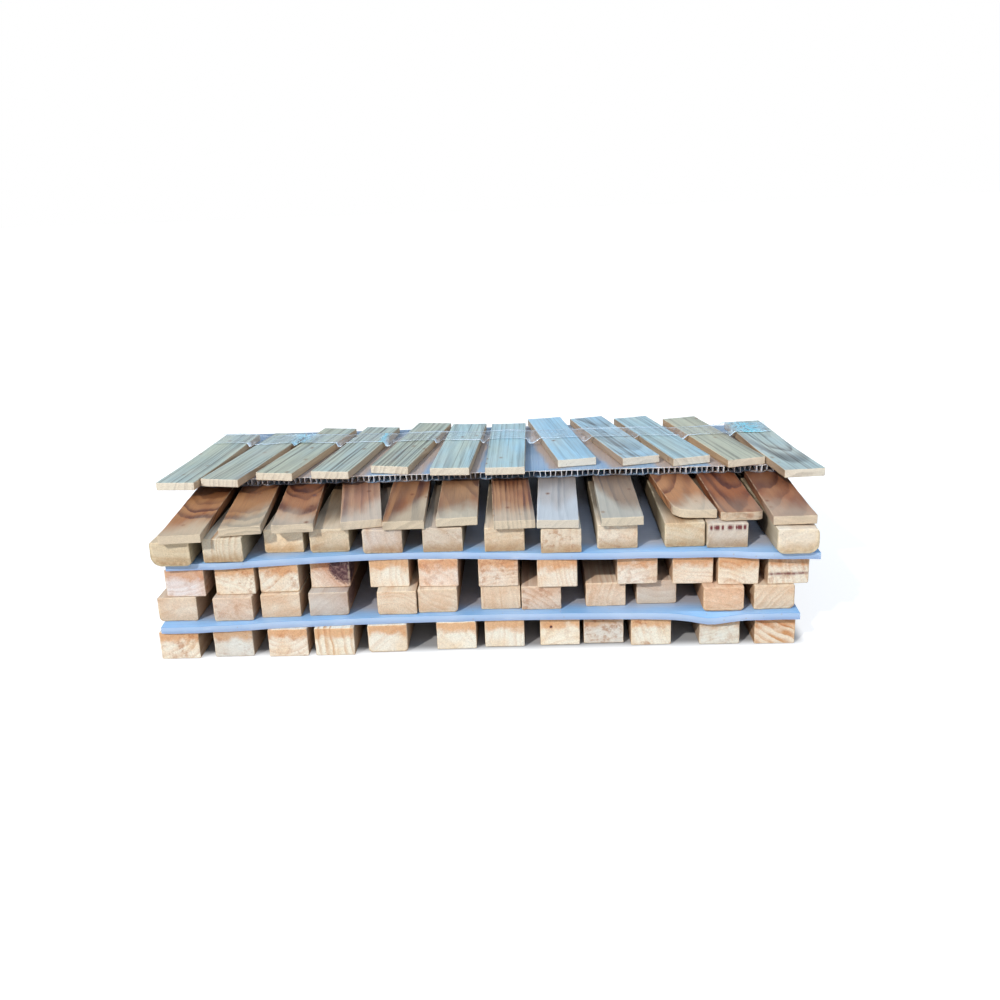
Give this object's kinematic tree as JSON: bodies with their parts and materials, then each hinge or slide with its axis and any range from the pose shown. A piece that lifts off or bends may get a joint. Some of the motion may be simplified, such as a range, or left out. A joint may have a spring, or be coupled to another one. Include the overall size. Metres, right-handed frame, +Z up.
{
  "type": "pack of hive frame timber",
  "caption": "Loose pack of square-edged pine bars and thin slats for hive frames, laid in tiers on twin-wall plastic sheets, with a clear film strip over the top slats.",
  "frame": {"origin": "centre of the pack's bounding box, on its underside", "axes": "+X to the right, +Y away from the viewer along the bars, +Z up"},
  "size_m": [0.4814, 0.2466, 0.1022],
  "materials": {
    "base_bar_pine": "planed, unfinished",
    "lower_bar_pine": "planed, unfinished",
    "centre_bar_pine": "planed, unfinished",
    "upper_bar_pine": "planed, unfinished",
    "mid_slat_pine": "sawn, unfinished",
    "top_slat_pine": "sawn, unfinished",
    "divider_sheet": "satin",
    "fluted_sheet": "satin",
    "clear_film": "clear gloss"
  },
  "bodies": {
    "base_row": {"base_bars_left": "base_bar_pine", "base_bars_middle": "base_bar_pine", "base_bars_right": "base_bar_pine"},
    "lower_tier": {"lower_sheet": "divider_sheet", "lower_bars_left": "lower_bar_pine", "lower_bars_middle": "lower_bar_pine", "lower_bars_right": "lower_bar_pine"},
    "middle_tier": {"middle_sheet": "divider_sheet"},
    "top_tier": {"upper_sheet": "fluted_sheet"},
    "strip": {"clear_strip": "clear_film"},
    "centre_bar_01": {"centre_bar_01": "centre_bar_pine"},
    "centre_bar_02": {"centre_bar_02": "centre_bar_pine"},
    "centre_bar_03": {"centre_bar_03": "centre_bar_pine"},
    "centre_bar_04": {"centre_bar_04": "centre_bar_pine"},
    "centre_bar_05": {"centre_bar_05": "centre_bar_pine"},
    "centre_bar_06": {"centre_bar_06": "centre_bar_pine"},
    "centre_bar_07": {"centre_bar_07": "centre_bar_pine"},
    "centre_bar_08": {"centre_bar_08": "centre_bar_pine"},
    "centre_bar_09": {"centre_bar_09": "centre_bar_pine"},
    "centre_bar_10": {"centre_bar_10": "centre_bar_pine"},
    "centre_bar_11": {"centre_bar_11": "centre_bar_pine"},
    "centre_bar_12": {"centre_bar_12": "centre_bar_pine"},
    "upper_bar_01": {"upper_bar_01": "upper_bar_pine"},
    "upper_bar_02": {"upper_bar_02": "upper_bar_pine"},
    "upper_bar_03": {"upper_bar_03": "upper_bar_pine"},
    "upper_bar_04": {"upper_bar_04": "upper_bar_pine"},
    "upper_bar_05": {"upper_bar_05": "upper_bar_pine"},
    "upper_bar_06": {"upper_bar_06": "upper_bar_pine"},
    "upper_bar_07": {"upper_bar_07": "upper_bar_pine"},
    "upper_bar_08": {"upper_bar_08": "upper_bar_pine"},
    "upper_bar_09": {"upper_bar_09": "upper_bar_pine"},
    "upper_bar_10": {"upper_bar_10": "upper_bar_pine"},
    "upper_bar_11": {"upper_bar_11": "upper_bar_pine"},
    "upper_bar_12": {"upper_bar_12": "upper_bar_pine"},
    "mid_slat_01": {"mid_slat_01": "mid_slat_pine"},
    "mid_slat_02": {"mid_slat_02": "mid_slat_pine"},
    "mid_slat_03": {"mid_slat_03": "mid_slat_pine"},
    "mid_slat_04": {"mid_slat_04": "mid_slat_pine"},
    "mid_slat_05": {"mid_slat_05": "mid_slat_pine"},
    "mid_slat_06": {"mid_slat_06": "mid_slat_pine"},
    "mid_slat_07": {"mid_slat_07": "mid_slat_pine"},
    "mid_slat_08": {"mid_slat_08": "mid_slat_pine"},
    "mid_slat_09": {"mid_slat_09": "mid_slat_pine"},
    "mid_slat_10": {"mid_slat_10": "mid_slat_pine"},
    "mid_slat_11": {"mid_slat_11": "mid_slat_pine"},
    "mid_slat_12": {"mid_slat_12": "mid_slat_pine"},
    "top_slat_01": {"top_slat_01": "top_slat_pine"},
    "top_slat_02": {"top_slat_02": "top_slat_pine"},
    "top_slat_03": {"top_slat_03": "top_slat_pine"},
    "top_slat_04": {"top_slat_04": "top_slat_pine"},
    "top_slat_05": {"top_slat_05": "top_slat_pine"},
    "top_slat_06": {"top_slat_06": "top_slat_pine"},
    "top_slat_07": {"top_slat_07": "top_slat_pine"},
    "top_slat_08": {"top_slat_08": "top_slat_pine"},
    "top_slat_09": {"top_slat_09": "top_slat_pine"},
    "top_slat_10": {"top_slat_10": "top_slat_pine"},
    "top_slat_11": {"top_slat_11": "top_slat_pine"},
    "top_slat_12": {"top_slat_12": "top_slat_pine"}
  },
  "joints": [
    {"name": "lower_tier_lift", "type": "slide", "parent": "base_row", "child": "lower_tier", "axis": [0, 0, 1], "range_m": [0, 0.06]},
    {"name": "middle_tier_lift", "type": "slide", "parent": "lower_tier", "child": "middle_tier", "axis": [0, 0, 1], "range_m": [0, 0.06]},
    {"name": "top_tier_lift", "type": "slide", "parent": "middle_tier", "child": "top_tier", "axis": [0, 0, 1], "range_m": [0, 0.06]},
    {"name": "strip_lift", "type": "slide", "parent": "top_tier", "child": "strip", "axis": [0, 0, 1], "range_m": [0, 0.05]},
    {"name": "centre_bar_01_draw", "type": "slide", "parent": "lower_tier", "child": "centre_bar_01", "axis": [0, -1, 0], "range_m": [0, 0.24]},
    {"name": "centre_bar_02_draw", "type": "slide", "parent": "lower_tier", "child": "centre_bar_02", "axis": [0, -1, 0], "range_m": [0, 0.24]},
    {"name": "centre_bar_03_draw", "type": "slide", "parent": "lower_tier", "child": "centre_bar_03", "axis": [0, -1, 0], "range_m": [0, 0.24]},
    {"name": "centre_bar_04_draw", "type": "slide", "parent": "lower_tier", "child": "centre_bar_04", "axis": [0, -1, 0], "range_m": [0, 0.24]},
    {"name": "centre_bar_05_draw", "type": "slide", "parent": "lower_tier", "child": "centre_bar_05", "axis": [0, -1, 0], "range_m": [0, 0.24]},
    {"name": "centre_bar_06_draw", "type": "slide", "parent": "lower_tier", "child": "centre_bar_06", "axis": [0, -1, 0], "range_m": [0, 0.24]},
    {"name": "centre_bar_07_draw", "type": "slide", "parent": "lower_tier", "child": "centre_bar_07", "axis": [0, -1, 0], "range_m": [0, 0.24]},
    {"name": "centre_bar_08_draw", "type": "slide", "parent": "lower_tier", "child": "centre_bar_08", "axis": [0, -1, 0], "range_m": [0, 0.24]},
    {"name": "centre_bar_09_draw", "type": "slide", "parent": "lower_tier", "child": "centre_bar_09", "axis": [0, -1, 0], "range_m": [0, 0.24]},
    {"name": "centre_bar_10_draw", "type": "slide", "parent": "lower_tier", "child": "centre_bar_10", "axis": [0, -1, 0], "range_m": [0, 0.24]},
    {"name": "centre_bar_11_draw", "type": "slide", "parent": "lower_tier", "child": "centre_bar_11", "axis": [0, -1, 0], "range_m": [0, 0.24]},
    {"name": "centre_bar_12_draw", "type": "slide", "parent": "lower_tier", "child": "centre_bar_12", "axis": [0, -1, 0], "range_m": [0, 0.24]},
    {"name": "upper_bar_01_draw", "type": "slide", "parent": "middle_tier", "child": "upper_bar_01", "axis": [0, -1, 0], "range_m": [0, 0.24]},
    {"name": "upper_bar_02_draw", "type": "slide", "parent": "middle_tier", "child": "upper_bar_02", "axis": [0, -1, 0], "range_m": [0, 0.24]},
    {"name": "upper_bar_03_draw", "type": "slide", "parent": "middle_tier", "child": "upper_bar_03", "axis": [0, -1, 0], "range_m": [0, 0.24]},
    {"name": "upper_bar_04_draw", "type": "slide", "parent": "middle_tier", "child": "upper_bar_04", "axis": [0, -1, 0], "range_m": [0, 0.24]},
    {"name": "upper_bar_05_draw", "type": "slide", "parent": "middle_tier", "child": "upper_bar_05", "axis": [0, -1, 0], "range_m": [0, 0.24]},
    {"name": "upper_bar_06_draw", "type": "slide", "parent": "middle_tier", "child": "upper_bar_06", "axis": [0, -1, 0], "range_m": [0, 0.24]},
    {"name": "upper_bar_07_draw", "type": "slide", "parent": "middle_tier", "child": "upper_bar_07", "axis": [0, -1, 0], "range_m": [0, 0.24]},
    {"name": "upper_bar_08_draw", "type": "slide", "parent": "middle_tier", "child": "upper_bar_08", "axis": [0, -1, 0], "range_m": [0, 0.24]},
    {"name": "upper_bar_09_draw", "type": "slide", "parent": "middle_tier", "child": "upper_bar_09", "axis": [0, -1, 0], "range_m": [0, 0.24]},
    {"name": "upper_bar_10_draw", "type": "slide", "parent": "middle_tier", "child": "upper_bar_10", "axis": [0, -1, 0], "range_m": [0, 0.24]},
    {"name": "upper_bar_11_draw", "type": "slide", "parent": "middle_tier", "child": "upper_bar_11", "axis": [0, -1, 0], "range_m": [0, 0.24]},
    {"name": "upper_bar_12_draw", "type": "slide", "parent": "middle_tier", "child": "upper_bar_12", "axis": [0, -1, 0], "range_m": [0, 0.24]},
    {"name": "mid_slat_01_draw", "type": "slide", "parent": "middle_tier", "child": "mid_slat_01", "axis": [0.0698, -0.9976, 0], "range_m": [0, 0.245]},
    {"name": "mid_slat_02_draw", "type": "slide", "parent": "middle_tier", "child": "mid_slat_02", "axis": [-0.1045, 0.9945, 0], "range_m": [0, 0.245]},
    {"name": "mid_slat_03_draw", "type": "slide", "parent": "middle_tier", "child": "mid_slat_03", "axis": [0.1045, -0.9945, 0], "range_m": [0, 0.245]},
    {"name": "mid_slat_04_draw", "type": "slide", "parent": "middle_tier", "child": "mid_slat_04", "axis": [-0.1564, 0.9877, 0], "range_m": [0, 0.245]},
    {"name": "mid_slat_05_draw", "type": "slide", "parent": "middle_tier", "child": "mid_slat_05", "axis": [-0.0436, 0.999, 0], "range_m": [0, 0.245]},
    {"name": "mid_slat_06_draw", "type": "slide", "parent": "middle_tier", "child": "mid_slat_06", "axis": [-0.0262, 0.9997, 0], "range_m": [0, 0.245]},
    {"name": "mid_slat_07_draw", "type": "slide", "parent": "middle_tier", "child": "mid_slat_07", "axis": [-0.0436, 0.999, 0], "range_m": [0, 0.245]},
    {"name": "mid_slat_08_draw", "type": "slide", "parent": "middle_tier", "child": "mid_slat_08", "axis": [0.0262, 0.9997, 0], "range_m": [0, 0.245]},
    {"name": "mid_slat_09_draw", "type": "slide", "parent": "middle_tier", "child": "mid_slat_09", "axis": [0.0087, 1, 0], "range_m": [0, 0.245]},
    {"name": "mid_slat_10_draw", "type": "slide", "parent": "middle_tier", "child": "mid_slat_10", "axis": [0.0698, -0.9976, 0], "range_m": [0, 0.245]},
    {"name": "mid_slat_11_draw", "type": "slide", "parent": "middle_tier", "child": "mid_slat_11", "axis": [-0.0087, 1, 0], "range_m": [0, 0.245]},
    {"name": "mid_slat_12_draw", "type": "slide", "parent": "middle_tier", "child": "mid_slat_12", "axis": [0.0349, 0.9994, 0], "range_m": [0, 0.245]},
    {"name": "top_slat_01_draw", "type": "slide", "parent": "top_tier", "child": "top_slat_01", "axis": [-0.1045, -0.9945, 0], "range_m": [0, 0.25]},
    {"name": "top_slat_02_draw", "type": "slide", "parent": "top_tier", "child": "top_slat_02", "axis": [0.1736, 0.9848, 0], "range_m": [0, 0.25]},
    {"name": "top_slat_03_draw", "type": "slide", "parent": "top_tier", "child": "top_slat_03", "axis": [-0.1994, -0.9799, 0], "range_m": [0, 0.25]},
    {"name": "top_slat_04_draw", "type": "slide", "parent": "top_tier", "child": "top_slat_04", "axis": [-0.165, -0.9863, 0], "range_m": [0, 0.25]},
    {"name": "top_slat_05_draw", "type": "slide", "parent": "top_tier", "child": "top_slat_05", "axis": [-0.1736, -0.9848, 0], "range_m": [0, 0.25]},
    {"name": "top_slat_06_draw", "type": "slide", "parent": "top_tier", "child": "top_slat_06", "axis": [-0.061, -0.9981, 0], "range_m": [0, 0.25]},
    {"name": "top_slat_07_draw", "type": "slide", "parent": "top_tier", "child": "top_slat_07", "axis": [-0.0087, -1, 0], "range_m": [0, 0.25]},
    {"name": "top_slat_08_draw", "type": "slide", "parent": "top_tier", "child": "top_slat_08", "axis": [0.165, -0.9863, 0], "range_m": [0, 0.25]},
    {"name": "top_slat_09_draw", "type": "slide", "parent": "top_tier", "child": "top_slat_09", "axis": [0.2504, -0.9681, 0], "range_m": [0, 0.25]},
    {"name": "top_slat_10_draw", "type": "slide", "parent": "top_tier", "child": "top_slat_10", "axis": [0.2419, -0.9703, 0], "range_m": [0, 0.25]},
    {"name": "top_slat_11_draw", "type": "slide", "parent": "top_tier", "child": "top_slat_11", "axis": [-0.225, 0.9744, 0], "range_m": [0, 0.25]},
    {"name": "top_slat_12_draw", "type": "slide", "parent": "top_tier", "child": "top_slat_12", "axis": [0.1219, -0.9925, 0], "range_m": [0, 0.25]}
  ]
}
